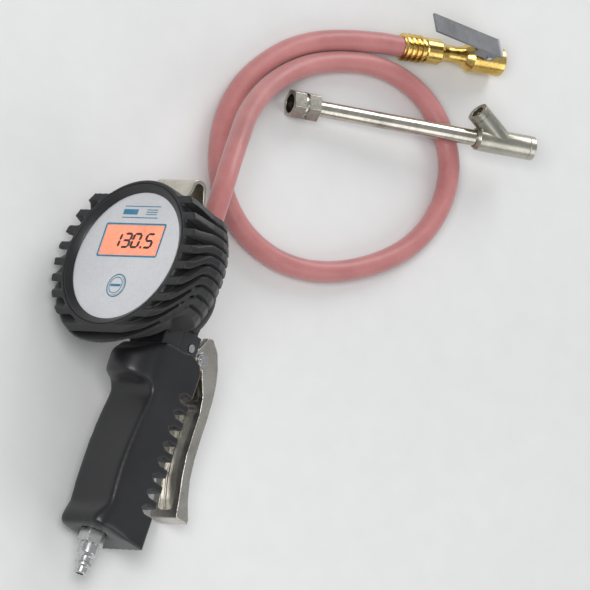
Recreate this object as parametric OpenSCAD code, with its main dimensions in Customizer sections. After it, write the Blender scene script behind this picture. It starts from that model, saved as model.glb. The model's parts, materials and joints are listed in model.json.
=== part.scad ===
// Tyre inflator: a digital gauge in a finned rubber boot on a squeeze valve with a grip,
// a hose with a clip-on chuck, and a loose extension with a dual-foot chuck.
// It lies on its left side on a flat surface, with the hose laid in a loop beside it.
// Sub-parts are drawn upright: +X right, +Y away from the dial, +Z up the grip, and the
// origin at the dial's centre. lay() turns them over onto the surface, with +Z up.

/* [Gauge] */
// Radius of the visible dial
dial_r = 41.5; // [36:0.5:50]
// Width of the cone-shaped bezel around the dial
bezel_w = 4.7; // [3:0.1:7]
// Depth of the gauge case behind the dial
case_depth = 37; // [34:1:42]
// Wall of the gauge case
case_wall = 2; // [1.5:0.1:3]
// Width of the display window
window_w = 48; // [30:1:56]
// Height of the display window
window_h = 19.5; // [14:0.5:22]
// Height of the window's centre above the dial's centre
window_z = 10.2; // [8:0.1:14]
// Radius of the push button
button_r = 6.2; // [4:0.1:8]
// Depth of the push button's centre below the dial's centre
button_drop = 19.7; // [18:0.1:26]
// Travel of the push button
button_travel = 0.4; // [0.2:0.1:0.8]

/* [Boot] */
// Width of the boot's lip around the bezel
lip_w = 2.8; // [2:0.1:5]
// How far the fins' ends stand out from the lip, level with the dial
tab_reach = 7; // [4:0.5:10]
// How far the fins stand out from the lip at their widest
fin_reach = 10.5; // [7:0.5:14]
// Distance from one fin to the next
fin_pitch = 10.8; // [9:0.1:13]
// Thickness of a fin
fin_t = 5; // [3:0.1:7]

/* [Valve body] */
// Width of the cast valve body
body_w = 28; // [24:1:34]
// Depth of the valve's centre line below the dial's centre
valve_drop = 46; // [44:1:50]
// Radius of the valve stem
stem_r = 2.4; // [2:0.1:3]
// Radius of the gauge stem
gauge_stem_r = 4.9; // [4:0.1:5.5]
// Radius of the hose fitting's thread
port_r = 6.2; // [5:0.1:7]

/* [Lever] */
// Width of the squeeze lever
lever_w = 22; // [20:0.5:26]
// Length of the squeeze lever below its pivot
lever_len = 95; // [80:1:112]
// Thickness of the lever
lever_t = 7.6; // [6:0.1:10]
// Radius of the lever's pin
pin_r = 2.5; // [1.5:0.1:3]

/* [Grip] */
// Depth of the grip's bottom below the dial's centre
grip_drop = 161; // [148:1:190]
// Width of the grip
grip_w = 38; // [34:1:44]
// Radius of the air tube in the grip
tube_r = 6.2; // [5:0.1:7]
// Number of finger ribs
rib_count = 8; // [4:1:9]

/* [Inlet plug] */
// Width across the flats of the plug's hexagon
plug_af = 14.3; // [12:0.1:18]
// Radius of the plug's barrel
plug_r = 5.95; // [5:0.05:7]
// Length of the plug below the grip
plug_len = 27; // [24:0.5:32]

/* [Hook] */
// Width of the hanging hook
hook_w = 32.6; // [24:0.1:36]
// Height of the hook's top above the dial's centre
hook_top = 61; // [58:1:72]
// Thickness of the hook's strap
hook_t = 2.4; // [1.5:0.1:3]

/* [Hose] */
// Outside diameter of the hose
hose_d = 13.2; // [11:0.1:15]

/* [Clip-on chuck] */
// Length of the clip-on chuck with its ferrule
chuck_len = 73; // [70:1:90]
// Radius of the chuck's mouth
mouth_r = 9.3; // [8.5:0.1:10]
// Radius of the hole that takes a tyre valve
valve_hole_r = 4.1; // [3.9:0.05:4.5]

/* [Extension] */
// Length of the extension with its head
ext_len = 166; // [150:1:200]
// Radius of the extension's tube
ext_r = 5; // [4:0.1:6]
// Radius of each foot of the dual-foot head
foot_r = 7.5; // [6.5:0.1:9]
// Width across the flats of the swivel nut
ext_nut_af = 16; // [15:0.5:20]

/* [Hidden] */
$fn = 48;
fit = 0.05;      // radial clearance of a fitted part
gap = 0.3;       // clearance between curved neighbours
eps = 0.01;

// How the inflator lies: lean about its length, tilt of its length, and where the dial is
lean = 18;
tilt = 8.3;
rest_at = [-124.7, -17, 62.8];

// Gauge and boot
bezel_r = dial_r + bezel_w;
rim_r = bezel_r + lip_w;
rim_y = -3.5;
plate_r = dial_r + 2.4;
plate_t = 0.8;
board_y = 9;
board_t = 1.6;
sensor_y = 20;
gauge_z = -4;
boot_y = case_depth + 7;
case_shape = [[0, case_depth], [bezel_r - 14, case_depth], [bezel_r - 7, case_depth - 10],
    [bezel_r - 2.2, case_depth - 21], [bezel_r, case_depth - 28], [bezel_r, 6.2],
    [bezel_r - 1.9, 6.2], [bezel_r - 1.9, plate_t + 0.15]];
fin_zs = [for (i = [0:9]) 36.7 - i*fin_pitch];
fin_back = rim_y;
hub_r = 23;
hub_z = -6;
hub_round = 5;

// Valve body
column_w = 20;
column_y = boot_y + 6;
port_y = column_y + 8;
column_front = port_y + 10;
hub_front = port_y + 6;
column_top = 10;
valve_z = -valve_drop;
pivot = [port_y + 18, valve_z + 12];
passage_y = port_y - 2;
seat_y = port_y - 6;
chamber_back = port_y - 17;
gland_y = port_y + 6;
gland_face = port_y + 16;
web_y = port_y + 33.5;
body_back = port_y - 20.5;
body_top = valve_z + 22;
body_low = valve_z - 12;
lug_w = 12;
boss_r = 8;
pin_at = [port_y + 4, valve_z + 13];

// Grip and inlet
tube_y = port_y - 11;
grip_z = -grip_drop;
grip_front = port_y + 15;
rib_pitch = 10.4;

// Hook feet sit on a pad on the case
pad_w = hook_w + 1;
pad_z = bezel_r - 1.7;
hook_back = 16;
hook_front = 34.5;
screw_ys = [hook_back + 5.4, hook_front - 5.7];

// Hose end fittings
nut_h = 6;
ferrule_h = 18;
ferrule_r = hose_d/2 + 2;
barb_r = 4;
exit_z = column_top + nut_h + ferrule_h;

// Places and headings on the surface of the parts that lie beside the inflator
chuck_at = [45.5, 220.5, 9.5];
chuck_yaw = 17;
chuck_roll = -15;
ext_at = [-17.3, 151.8, 8.6];
ext_yaw = 13.2;
ext_pitch = 5.9;
ext_roll = 25;

// Points on the hose's centre line, from the fitting to the chuck
hose_points = concat(
    [for (d = [0, 10, 20]) on_table([0, port_y, exit_z + d])],
    [[-69, 59.5, 54], [-66, 80, 49.5], [-61, 99.5, 41.5], [-55, 118.5, 32], [-46.5, 137, 23.5],
     [-36, 154, 16], [-23, 170, 11], [-7, 184, 7.8], [11.5, 194.5, 6.7], [32, 201.5, 6.7],
     [53, 202.5, 6.7], [73, 196.5, 6.7], [89.5, 183, 6.7], [100, 164.5, 6.7], [102.5, 143.5, 6.7],
     [98.5, 122.5, 6.7], [89, 103, 6.7], [75, 86.5, 6.7], [58, 72.5, 6.7], [39.5, 61.5, 6.7],
     [19.5, 54.5, 6.7], [-1.5, 53, 6.7], [-22, 58.5, 6.7], [-39, 71, 6.7], [-50.5, 88.5, 6.7],
     [-56, 109, 6.7], [-56, 130.5, 6.7], [-50.5, 151, 6.7], [-40, 169.5, 6.7], [-26, 186, 6.8],
     [-9, 199, 7.2], [10, 208.5, 8]],
    [for (d = [-16, -6, 0]) along_chuck(d)]);

// ---------- placing ----------
function rx(a, p) = [p[0], p[1]*cos(a) - p[2]*sin(a), p[1]*sin(a) + p[2]*cos(a)];
function ry(a, p) = [p[0]*cos(a) + p[2]*sin(a), p[1], -p[0]*sin(a) + p[2]*cos(a)];
function on_table(p) = rest_at + rx(tilt, ry(lean, [p[1], p[2], p[0]]));
function along_chuck(d) = chuck_at + d*[cos(chuck_yaw), sin(chuck_yaw), 0];

module lay() translate(rest_at) rotate([tilt, 0, 0]) rotate([0, lean, 0]) rotate([0, -90, -90]) children();
module at_chuck() translate(chuck_at) rotate([0, 0, chuck_yaw]) rotate([chuck_roll, 0, 0]) children();
module at_ext() translate(ext_at) rotate([0, -ext_pitch, ext_yaw]) rotate([ext_roll, 0, 0]) children();

// A profile of [radius, distance] points turned about Y, and one turned about X
module turned_y(points) rotate([-90, 0, 0]) rotate_extrude($fn = 96) polygon(points);
module turned_x(points, fn = 64) rotate([0, 90, 0]) rotate_extrude($fn = fn) polygon(points);
module rod_y(r, y0, y1, x = 0, z = 0) translate([x, y0, z]) rotate([-90, 0, 0]) cylinder(h = y1 - y0, r = r);
module rod_x(r, x0, x1, y = 0, z = 0) translate([x0, y, z]) rotate([0, 90, 0]) cylinder(h = x1 - x0, r = r);
module rod_z(r, z0, z1, y = 0) translate([0, y, z0]) cylinder(h = z1 - z0, r = r);
module hex_y(af, y0, y1, z = 0) translate([0, y0, z]) rotate([-90, 0, 0])
    cylinder(h = y1 - y0, r = af/2/cos(30), $fn = 6);
module block(w, y0, y1, z0, z1) translate([-w/2, y0, z0]) cube([w, y1 - y0, z1 - z0]);
// A [y, z] outline made w wide along X
module side(w) translate([-w/2, 0, 0]) rotate([90, 0, 90]) linear_extrude(w) children();
module ring_z(r1, r2, z0, z1, y) difference() {
    rod_z(r2, z0, z1, y);
    rod_z(r1, z0 - 1, z1 + 1, y);
}

function arc(c, r, a0, a1, n) = [for (i = [0:n]) c + r*[cos(a0 + (a1 - a0)*i/n), sin(a0 + (a1 - a0)*i/n)]];

// ---------- gauge ----------
// How high a fin has climbed at a distance y behind its end: low fins climb more
function climb(z0, y) = let (t = min(1, max(0, (y - fin_back)/17))) (8.4 - 0.384*z0)*t*t*(3 - 2*t);

module fin(z0) {
    ys = [fin_back - 1, fin_back, 1, 4, 7, 10, 13.5, boot_y + 6];
    low = [for (y = ys) [y, z0 - fin_t/2 + climb(z0, y)]];
    high = [for (i = [len(ys) - 1:-1:0]) [ys[i], z0 + fin_t/2 + climb(z0, ys[i])]];
    side(4*rim_r) polygon(concat(low, high));
}

module boot_core() turned_y([[0, rim_y], [rim_r - 1.3, rim_y], [rim_r, rim_y + 1.5], [rim_r, 8],
    [rim_r - 1, case_depth - 23], [rim_r - 4.5, case_depth - 14], [rim_r - 10, case_depth - 5],
    [rim_r - 17, case_depth + 2], [rim_r - 22, boot_y], [0, boot_y]]);

module fin_envelope() turned_y([[0, fin_back], [rim_r + tab_reach, fin_back],
    [rim_r + tab_reach + 2, 4], [rim_r + fin_reach, 11], [rim_r + fin_reach, 20],
    [rim_r + fin_reach - 2.5, 27], [rim_r + 2, case_depth - 2], [rim_r - 7, case_depth + 4],
    [rim_r - 20, boot_y], [0, boot_y]]);

module boot() color("dimgray") difference() {
    union() {
        boot_core();
        translate([0, 0, hub_z]) turned_y([[0, boot_y - 8], [hub_r, boot_y - 8],
            [hub_r, hub_front - hub_round], [hub_r - 0.3*hub_round, hub_front - 0.3*hub_round],
            [hub_r - hub_round, hub_front], [0, hub_front]]);
        intersection() {
            fin_envelope();
            for (z0 = fin_zs) fin(z0);
        }
    }
    turned_y([[0, rim_y - 1], [bezel_r + fit, rim_y - 1], [bezel_r + fit, case_depth - 28 + fit],
        [bezel_r - 2.2 + fit, case_depth - 21 + fit], [bezel_r - 7 + fit, case_depth - 10 + fit],
        [bezel_r - 14 + fit, case_depth + fit], [0, case_depth + fit]]);
    block(pad_w + 2*fit, hook_back - 1.6, hook_front + 1.6, bezel_r - 20, rim_r + 20);
    rod_y(9, case_depth - 1, column_y, 0, gauge_z);
    block(column_w + 2*gap, column_y - 1.2, hub_front + 1, body_top, hub_r);
    block(body_w + 2*gap, body_back - 1, hub_front + 1, body_low, body_top + gap);
}

module gauge_case() color([0.12, 0.12, 0.13]) difference() {
    union() {
        turned_y(concat([[0, plate_t + 0.15]], [for (i = [len(case_shape) - 1:-1:0]) case_shape[i]]));
        block(pad_w, hook_back - 1.5, hook_front + 1.5, bezel_r - 10, pad_z);
    }
    turned_y([[0, -1], [bezel_r - 1.9 - case_wall, -1], [bezel_r - 1.9 - case_wall, case_depth - 25],
        [bezel_r - 9, case_depth - 13], [bezel_r - 15, case_depth - 2*case_wall],
        [0, case_depth - 2*case_wall]]);
    rod_y(gauge_stem_r + fit, 1, case_depth + 1, 0, gauge_z);
    for (y = screw_ys) rod_z(1.5, pad_z - 8, pad_z + 1, y);
}

module bezel() color([0.1, 0.1, 0.11]) turned_y([[dial_r, -0.5], [bezel_r - 1, rim_y + 0.3],
    [bezel_r, rim_y + 0.3], [bezel_r, 6], [bezel_r - 1.8, 6], [bezel_r - 1.8, 0], [dial_r, 0]]);

module face_plate() color("gainsboro") difference() {
    rod_y(plate_r, fit, plate_t);
    block(window_w + 2*fit, -1, 2, window_z - window_h/2 - fit, window_z + window_h/2 + fit);
    rod_y(button_r + 0.1, -1, 2, 0, -button_drop);
}

module display_window() color("lightsalmon", 0.5)
    block(window_w, 0.1, plate_t, window_z - window_h/2, window_z + window_h/2);

module display_panel() color("salmon")
    block(window_w + 6, plate_t + 0.1, board_y - 0.1, window_z - window_h/2 - 2, window_z + window_h/2 + 2);

module push_button() color("gainsboro") translate([0, 0, -button_drop]) {
    rod_y(button_r, -0.5, plate_t + 0.2);
    rod_y(button_r - 1, plate_t + 0.2, 2);
    rod_y(2, 2, board_y - 2 - button_travel - 0.1);
}

module button_switch() color("black") block(6, board_y - 2, board_y, -button_drop - 3, -button_drop + 3);

module circuit_board() color("darkgreen") difference() {
    rod_y(plate_r - case_wall - 2.5, board_y, board_y + board_t);
    rod_y(4, board_y - 1, board_y + 3, -28, 10);
}

module battery() color("silver") rod_y(10, board_y + board_t + 1.1, board_y + board_t + 4.3, 16, 6);

module battery_holder() color("black") difference() {
    rod_y(12, board_y + board_t, board_y + board_t + 4.3, 16, 6);
    rod_y(10 + fit, board_y + board_t + 1.05, board_y + board_t + 5, 16, 6);
    translate([20, board_y + board_t + 1.05, -8]) cube([10, 5, 28]);
}

module pressure_sensor() color("silver") translate([0, 0, gauge_z]) {
    rod_y(7.5, sensor_y, sensor_y + 8);
    for (a = [0:90:270]) rotate([0, a, 0]) rod_y(0.4, board_y + board_t, sensor_y, 4);
}

module gauge_stem() color("goldenrod") translate([0, 0, gauge_z]) difference() {
    union() {
        rod_y(gauge_stem_r, sensor_y + 8, passage_y);
        hex_y(13, sensor_y + 9, case_depth - 2*case_wall - 0.1);
    }
    rod_y(1.6, sensor_y + 9, passage_y + 1);
}

module gauge_stem_nut() color("silver") translate([0, 0, gauge_z]) difference() {
    hex_y(14, case_depth + 0.1, case_depth + 5);
    rod_y(gauge_stem_r + fit, case_depth - 1, case_depth + 6);
}

module gauge_o_ring() color("black") translate([0, column_y + 1.05, gauge_z]) rotate([-90, 0, 0])
    rotate_extrude() translate([gauge_stem_r + 1.02, 0]) circle(r = 0.95, $fn = 24);

// ---------- hook ----------
function hook_line(o) = concat(
    [[hook_back + 2.2 + o, hook_top - 9]],
    arc([24.6, hook_top - 6.4], 6.4 - o, 158, 22, 8),
    [[hook_front - 1 - o, hook_top - 12], [hook_front - o, pad_z + o + 0.1]]);

module hook_outline(o) polygon(concat([[hook_back + o, pad_z + o + 0.1]], hook_line(o)));

module hanging_hook() color("wheat") difference() {
    side(hook_w) hook_outline(0);
    side(hook_w + 2) hook_outline(hook_t);
    block(hook_w + 2, 24.2, 26.4, pad_z - 1, pad_z + hook_t + 1);
    for (y = screw_ys) rod_z(1.7, pad_z - 1, pad_z + hook_t + 1, y);
}

module hook_screws() color("silver") for (y = screw_ys) {
    rod_z(1.45, pad_z - 7, pad_z + hook_t + 0.2, y);
    rod_z(2, pad_z + hook_t + 0.15, pad_z + hook_t + 1.6, y);
}

// ---------- valve ----------
module valve_body() color([0.27, 0.27, 0.28]) difference() {
    union() {
        block(column_w, column_y, column_front, body_top - eps, column_top);
        block(body_w, body_back, column_front, body_low, body_top);
        block(lug_w, column_front - 1, pivot[0], pivot[1] - 8, body_top);
        block(lug_w, column_front - 1, pivot[0], pivot[1] - 8, pivot[1] + 5);
        rod_x(5, -lug_w/2, lug_w/2, pivot[0], pivot[1]);
        rod_y(boss_r, column_front - 1, gland_face, 0, valve_z);
    }
    for (m = [-1, 1]) translate([m*body_w/2 - 1, port_y - 6.6, body_low - 1]) cube([2, 1.2, 40]);
    rod_y(6, chamber_back, seat_y + eps, 0, valve_z);
    rod_y(3.4, seat_y - 1, gland_y, 0, valve_z);
    rod_y(4.8, seat_y + 3, gland_y + eps, 0, valve_z);
    rod_y(5.55, gland_y, gland_face + 1, 0, valve_z);
    rod_y(6.2, gland_face, gland_face + 9, 0, valve_z);
    rod_z(2, valve_z, column_top + 1, passage_y);
    rod_z(port_r + fit, column_top - 7, column_top + 1, port_y);
    rod_y(gauge_stem_r + fit, column_y - 1, passage_y + 0.2, 0, gauge_z);
    rod_y(gauge_stem_r + 2.1, column_y - 1, column_y + 2.1, 0, gauge_z);
    rod_z(tube_r + fit, body_low - 1, body_low + 7, tube_y);
    rod_z(3.5, body_low, valve_z, tube_y);
    rod_x(pin_r + fit, -lug_w, lug_w, pivot[0], pivot[1]);
    rod_x(pin_r + fit, -body_w, body_w, pin_at[0], pin_at[1]);
}

module valve_seat() color("goldenrod") difference() {
    rod_y(4.75, seat_y + 3.1, seat_y + 4.6, 0, valve_z);
    rod_y(stem_r + 0.7, seat_y, seat_y + 6, 0, valve_z);
}

module valve_stem() color("gold") translate([0, 0, valve_z]) {
    rod_y(stem_r, seat_y - 2, web_y - 0.1);
    rod_y(4.6, seat_y - 4, seat_y - 1.6);
    rod_y(2, seat_y - 6, seat_y - 4);
}

module stem_seal() color("black") translate([0, 0, valve_z]) difference() {
    rod_y(4.6, seat_y - 1.55, seat_y - 0.05);
    rod_y(stem_r + fit, seat_y - 3, seat_y + 1);
}

module coil_x(r, wire, turns, pitch) for (i = [0:turns - 1]) translate([i*pitch, 0, 0]) rotate([0, 90, 0])
    rotate_extrude($fn = 32) translate([r, 0]) circle(r = wire, $fn = 16);

module valve_spring() color("silver") translate([0, chamber_back + 0.6, valve_z]) rotate([0, 0, 90])
    coil_x(3.4, 0.5, 3, 1.1);

module gland_nut() color("gold") translate([0, 0, valve_z]) difference() {
    union() {
        rod_y(5.5, gland_y + 0.1, gland_face);
        hex_y(10, gland_face, gland_face + 8);
    }
    rod_y(stem_r + fit, gland_y, gland_face + 9);
}

module cross_pin() color("silver") rod_x(pin_r, -body_w/2 - 0.5, body_w/2 + 0.5, pin_at[0], pin_at[1]);

// ---------- lever ----------
// Front line of the lever from its ears down to its end, relative to the pivot
function lever_front(o) = [[4, 15], [11, 9], [15.5 - o, 0], [18 - o, -8], [19.6 - o, -18], [20.2 - o, -30],
    [20.4 - o, -44], [20.8 - o, -57], [22.6 - o, -70], [26.6 - o, -82], [31.6 - o, -lever_len + 3],
    [31.8 - o, -lever_len]];
function lever_back() = [for (p = [[-3, -lever_len], [-0.6, -82], [0.3, -70], [0, -57], [0, -44],
    [0, -30], [-1.4, -20]]) [p[0], p[1]] + [lever_line(p[1]) - lever_t, 0]];
function lever_line(z) = lookup(-z, [[18, 19.6], [30, 20.2], [44, 20.4], [57, 20.8], [70, 22.6],
    [82, 26.6], [lever_len - 3, 31.6], [lever_len, 31.8]]);

module lever_outline() polygon(concat(lever_front(0), lever_back(), [[6, -12], [3, -6], [-5, -3], [-6, 2], [-4, 6], [0, 14]]));

module squeeze_lever() color([0.62, 0.6, 0.55]) translate([0, pivot[0], pivot[1]]) difference() {
    union() {
        side(lever_w) lever_outline();
        rod_x(6.8, -lever_w/2, lever_w/2);
    }
    block(lug_w + 2*gap, -20, web_y - pivot[0], -22, 40);
    side(lever_w/2) polygon(concat([for (z = [-26, -44, -57, -70, -82, -lever_len + 5])
        [lever_line(z) - lever_t/2, z]], [for (z = [-lever_len + 5, -82, -70, -57, -44, -26])
        [lever_line(z) - 2*lever_t, z]]));
    rod_x(pin_r + fit, -lever_w, lever_w);
}

module lever_pin() color("silver") rod_x(pin_r, -lever_w/2 - 1.4, lever_w/2 + 1.4, pivot[0], pivot[1]);

module pin_clips() color("silver") for (m = [-1, 1]) difference() {
    rod_x(4.2, m*(lever_w/2 + 0.7) - 0.4, m*(lever_w/2 + 0.7) + 0.4, pivot[0], pivot[1]);
    rod_x(pin_r + 0.01, -lever_w, lever_w, pivot[0], pivot[1]);
}

// ---------- grip ----------
function grip_outline() = concat(
    [[grip_front, grip_z], [grip_front - 42, grip_z], [grip_front - 42.5, grip_z + 6],
     [grip_front - 36.8, grip_z + 16], [grip_front - 38, grip_z + 27], [grip_front - 38.6, grip_z + 40],
     [grip_front - 38.2, grip_z + 53], [grip_front - 36.6, -90], [grip_front - 34.6, -78],
     [grip_front - 33.6, -71], [grip_front - 37, -67]],
    arc([grip_front - 50, -58.5], 7.6, 262, 110, 8),
    [[grip_front - 46, -47], [grip_front - 40, -41.5], [grip_front - 33, -38], [grip_front - 11, -38],
     [grip_front - 4, -41], [grip_front, -47]]);

// The grip seen from above, with round rear corners, small front ones and a round horn
module grip_plan(y0, y1, back_r, front_r) {
    w = grip_w/2;
    translate([-w + back_r, y0]) square([2*w - 2*back_r, y1 - y0 - front_r]);
    translate([-w + front_r, y0 + back_r]) square([2*w - 2*front_r, y1 - y0 - back_r]);
    translate([-w, y0 + back_r]) square([2*w, y1 - y0 - back_r - front_r]);
    for (m = [-1, 1]) {
        translate([m*(w - back_r), y0 + back_r]) circle(r = back_r);
        translate([m*(w - front_r), y1 - front_r]) circle(r = front_r);
    }
    translate([0, y0 + 4]) circle(r = w - 3.5);
}

module grip() color([0.13, 0.13, 0.14]) difference() {
    intersection() {
        side(grip_w + 2) polygon(grip_outline());
        translate([0, 0, grip_z - 1]) linear_extrude(grip_drop)
            grip_plan(grip_front - 42.6, grip_front, 9, 2.5);
    }
    for (i = [0:rib_count - 1]) let (z = -62 - i*rib_pitch) if (z - 8 > grip_z + 16)
        for (m = [0, 1]) mirror([m, 0, 0]) translate([5, 0, 0])
            side(grip_w) translate([grip_front, z]) polygon([[1, 0], [-9, 0], [-13, -2.5], [-9, -5.4], [1, -5.4]]);
    block(body_w + 2*fit, body_back - fit, column_front + fit, body_low - fit, 0);
    block(lug_w + 2*gap, column_front - 1, grip_front + 1, body_low - fit, 0);
    rod_y(boss_r + gap, column_front - 1, grip_front + 1, 0, valve_z);
    rod_z(tube_r + fit, grip_z - 1, body_low, tube_y);
    rod_z(plug_af/2/cos(30) + fit, grip_z - 1, grip_z + 1, tube_y);
}

module air_tube() color("silver") difference() {
    rod_z(tube_r, grip_z + 1.1, body_low + 6.9, tube_y);
    rod_z(tube_r - 1.8, grip_z, body_low + 9, tube_y);
}

module inlet_plug() color("lightgray") translate([0, tube_y, grip_z]) difference() {
    union() {
        translate([0, 0, -7.5]) cylinder(h = 8.5, r = plug_af/2/cos(30), $fn = 6);
        translate([0, 0, -1]) cylinder(h = 14, r = tube_r - 1.85);
        rotate([180, 0, 0]) rotate_extrude() polygon([[0, 7], [plug_r - 1, 7], [plug_r, 8],
            [plug_r, 14], [plug_r - 2, 16], [plug_r - 2, 19.6], [plug_r - 0.5, 20], [plug_r - 0.5, 22],
            [plug_r - 2.1, 22.6], [plug_r - 2.1, plug_len - 0.6], [plug_r - 2.7, plug_len],
            [0, plug_len]]);
    }
    translate([0, 0, -plug_len - 1]) cylinder(h = 60, r = 2.3);
}

module inlet_screen() color("goldenrod") ring_z(1.2, tube_r - 1.85, grip_z + 13.05, grip_z + 14.2, tube_y);

// ---------- hose ----------
module hose_fitting() color("goldenrod") translate([0, port_y, column_top]) difference() {
    union() {
        translate([0, 0, -6.6]) cylinder(h = 7, r = port_r);
        cylinder(h = nut_h, r = 15/2/cos(30), $fn = 6);
        translate([0, 0, nut_h - 1]) cylinder(h = ferrule_h + 0.95, r = barb_r);
    }
    translate([0, 0, -12]) cylinder(h = 40, r = 2.2);
}

module hose_ferrule() color("goldenrod") translate([0, port_y, column_top + nut_h]) rotate_extrude()
    polygon([[barb_r + fit, 0.05], [ferrule_r - 0.6, 0.05], [ferrule_r, 0.8], [ferrule_r, 4],
        [ferrule_r - 0.9, 5], [ferrule_r - 0.9, 7], [ferrule_r, 8], [ferrule_r, 10],
        [ferrule_r - 0.9, 11], [ferrule_r - 0.9, 13], [ferrule_r, 14], [ferrule_r, ferrule_h - 0.8],
        [ferrule_r - 0.6, ferrule_h], [barb_r + fit, ferrule_h]]);

// The hose is swept along a smooth curve through hose_points
hose_steps = 2;
hose_sides = 12;
function spline(p, i, t) = let (n = len(p) - 1, a = p[max(i - 1, 0)], b = p[i], c = p[min(i + 1, n)],
    d = p[min(i + 2, n)]) 0.5*(2*b + (c - a)*t + (2*a - 5*b + 4*c - d)*t*t + (3*b - a - 3*c + d)*t*t*t);
hose_line = concat([for (i = [0:len(hose_points) - 2], k = [0:hose_steps - 1])
    spline(hose_points, i, k/hose_steps)], [hose_points[len(hose_points) - 1]]);
function unit(v) = v/norm(v);
function heading(p, i) = i == 0 ? unit(p[1] - p[0])
    : i == len(p) - 1 ? unit(p[i] - p[i - 1]) : unit(p[i + 1] - p[i - 1]);

module swept_tube(line, r, sides) {
    n = len(line);
    rings = [for (i = [0:n - 1]) let (d = heading(line, i), u = unit(cross([0, 0, 1], d)), v = cross(d, u))
        for (k = [0:sides - 1]) line[i] + r*(cos(360*k/sides)*u + sin(360*k/sides)*v)];
    walls = [for (i = [0:n - 2], k = [0:sides - 1]) let (a = i*sides, j = (k + 1)%sides)
        [a + k, a + sides + k, a + sides + j, a + j]];
    first = [for (k = [0:sides - 1]) k];
    last = [for (k = [sides - 1:-1:0]) (n - 1)*sides + k];
    polyhedron(rings, concat(walls, [first, last]), convexity = 10);
}

module hose() color([0.8, 0.5, 0.5]) swept_tube(hose_line, hose_d/2, hose_sides);

// ---------- clip-on chuck, drawn along +X from the hose's end ----------
cf = 16;
function ridge(x) = [[ferrule_r - 1.4, x], [ferrule_r, x + 0.6], [ferrule_r, x + 2], [ferrule_r - 1.4, x + 2.6]];
module chuck_ferrule() color("gold") at_chuck() turned_x(concat([[0, 0.05], [ferrule_r - 1.4, 0.05]],
    [for (i = [0:3]) each ridge(0.9 + i*3.7)], [[ferrule_r - 1.4, cf], [0, cf]]));

clip_x = chuck_len - 16;
clip_z = mouth_r + 2.4;
module chuck_body() color("gold") at_chuck() difference() {
    union() {
        turned_x([[0, cf + 0.05], [7.2, cf + 0.05], [8, cf + 1], [8, cf + 11], [6.6, cf + 13], [5.4, cf + 17],
            [5.2, cf + 25], [6.2, cf + 30], [mouth_r, cf + 34], [mouth_r, chuck_len - 1],
            [mouth_r - 0.8, chuck_len], [0, chuck_len]]);
        translate([clip_x - 4, -3.4, 0]) cube([8, 6.8, clip_z]);
        translate([clip_x, -3.4, clip_z]) rotate([-90, 0, 0]) cylinder(h = 6.8, r = 3);
    }
    rod_x(valve_hole_r, chuck_len - 11, chuck_len + 1);
    rod_x(6, chuck_len - 16, chuck_len - 11 + eps);
    rod_x(2, cf - 1, chuck_len - 12);
    translate([clip_x, -10, clip_z]) rotate([-90, 0, 0]) cylinder(h = 20, r = clip_pin_r + fit);
    translate([clip_x + 5.5, -2.6, valve_hole_r - 1]) cube([3.9, 5.2, 20]);
}

module chuck_gasket() color("black") at_chuck() difference() {
    rod_x(5.95, chuck_len - 14, chuck_len - 11.05);
    rod_x(2.6, chuck_len - 15, chuck_len - 10);
}

module chuck_pusher() color("gold") at_chuck() {
    rod_x(1.2, chuck_len - 15.9, chuck_len - 11.05);
    difference() {
        rod_x(5.95, chuck_len - 15.95, chuck_len - 14.05);
        for (a = [0:120:240]) rotate([a, 0, 0]) rod_x(1.2, chuck_len - 17, chuck_len - 13, 3.6);
    }
}

// Clip lever: a bent plate on the pin, with a thumb end over the hose and a tooth in the mouth's slot
clip_half = 6.4;
clip_lift = 17;
clip_back = 54;
clip_rise = 3.6;
clip_t = 1.6;
clip_pin_r = 1.5;
module clip_lever() color([0.43, 0.44, 0.45]) at_chuck() translate([clip_x, 0, clip_z]) difference() {
    rotate([90, 0, 0]) {
        linear_extrude(2*clip_half, center = true) {
            rotate(-clip_lift) translate([-clip_back, clip_rise]) square([clip_back + 5, clip_t]);
            translate([3.4, 2.2]) square([5.2, clip_t]);
        }
        linear_extrude(4.4, center = true) translate([6.2, -5.6]) square([1.8, 9]);
        for (m = [-1, 1]) translate([0, 0, m*(clip_half - 0.85)]) linear_extrude(1.4, center = true) {
            circle(r = 3.4);
            rotate(-clip_lift) translate([-12, -2.2]) square([16, 6.6]);
        }
    }
    translate([0, -20, 0]) rotate([-90, 0, 0]) cylinder(h = 40, r = clip_pin_r + fit);
}

module clip_pin() color("silver") at_chuck() translate([clip_x, -clip_half - 0.6, clip_z])
    rotate([-90, 0, 0]) cylinder(h = 2*clip_half + 1.2, r = clip_pin_r);

module clip_spring() color("silver") at_chuck() for (m = [-1, 1]) for (i = [0:1])
    translate([clip_x, m*(3.8 + i*0.65), clip_z]) rotate([90, 0, 0])
        rotate_extrude($fn = 32) translate([2.1, 0]) circle(r = 0.3, $fn = 16);

// ---------- extension, drawn along +X from the swivel nut ----------
nut_len = 18;
nut_bore_r = ext_r + 0.9;
head_x = ext_len - 40;
foot_at = ext_len - 20;
foot_turn = 143;
foot_len = 27;
module swivel_nut() color("silver") at_ext() difference() {
    union() {
        rod_x(ext_nut_af/2 - 0.8, 0, nut_len);
        for (x = [0, 10]) translate([x, 0, 0]) rotate([0, 90, 0])
            cylinder(h = 8, r = ext_nut_af/2/cos(30), $fn = 6);
    }
    rod_x(nut_bore_r, -1, 7.3);
    rod_x(ext_r + 0.3 + fit, 7, 12);
    rod_x(ext_r + fit, 11, nut_len + 1);
}

module nut_washer() color("black") at_ext() difference() {
    rod_x(ext_r + 0.2, 7.4, 8.9);
    rod_x(2.5, 7, 10);
}

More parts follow.
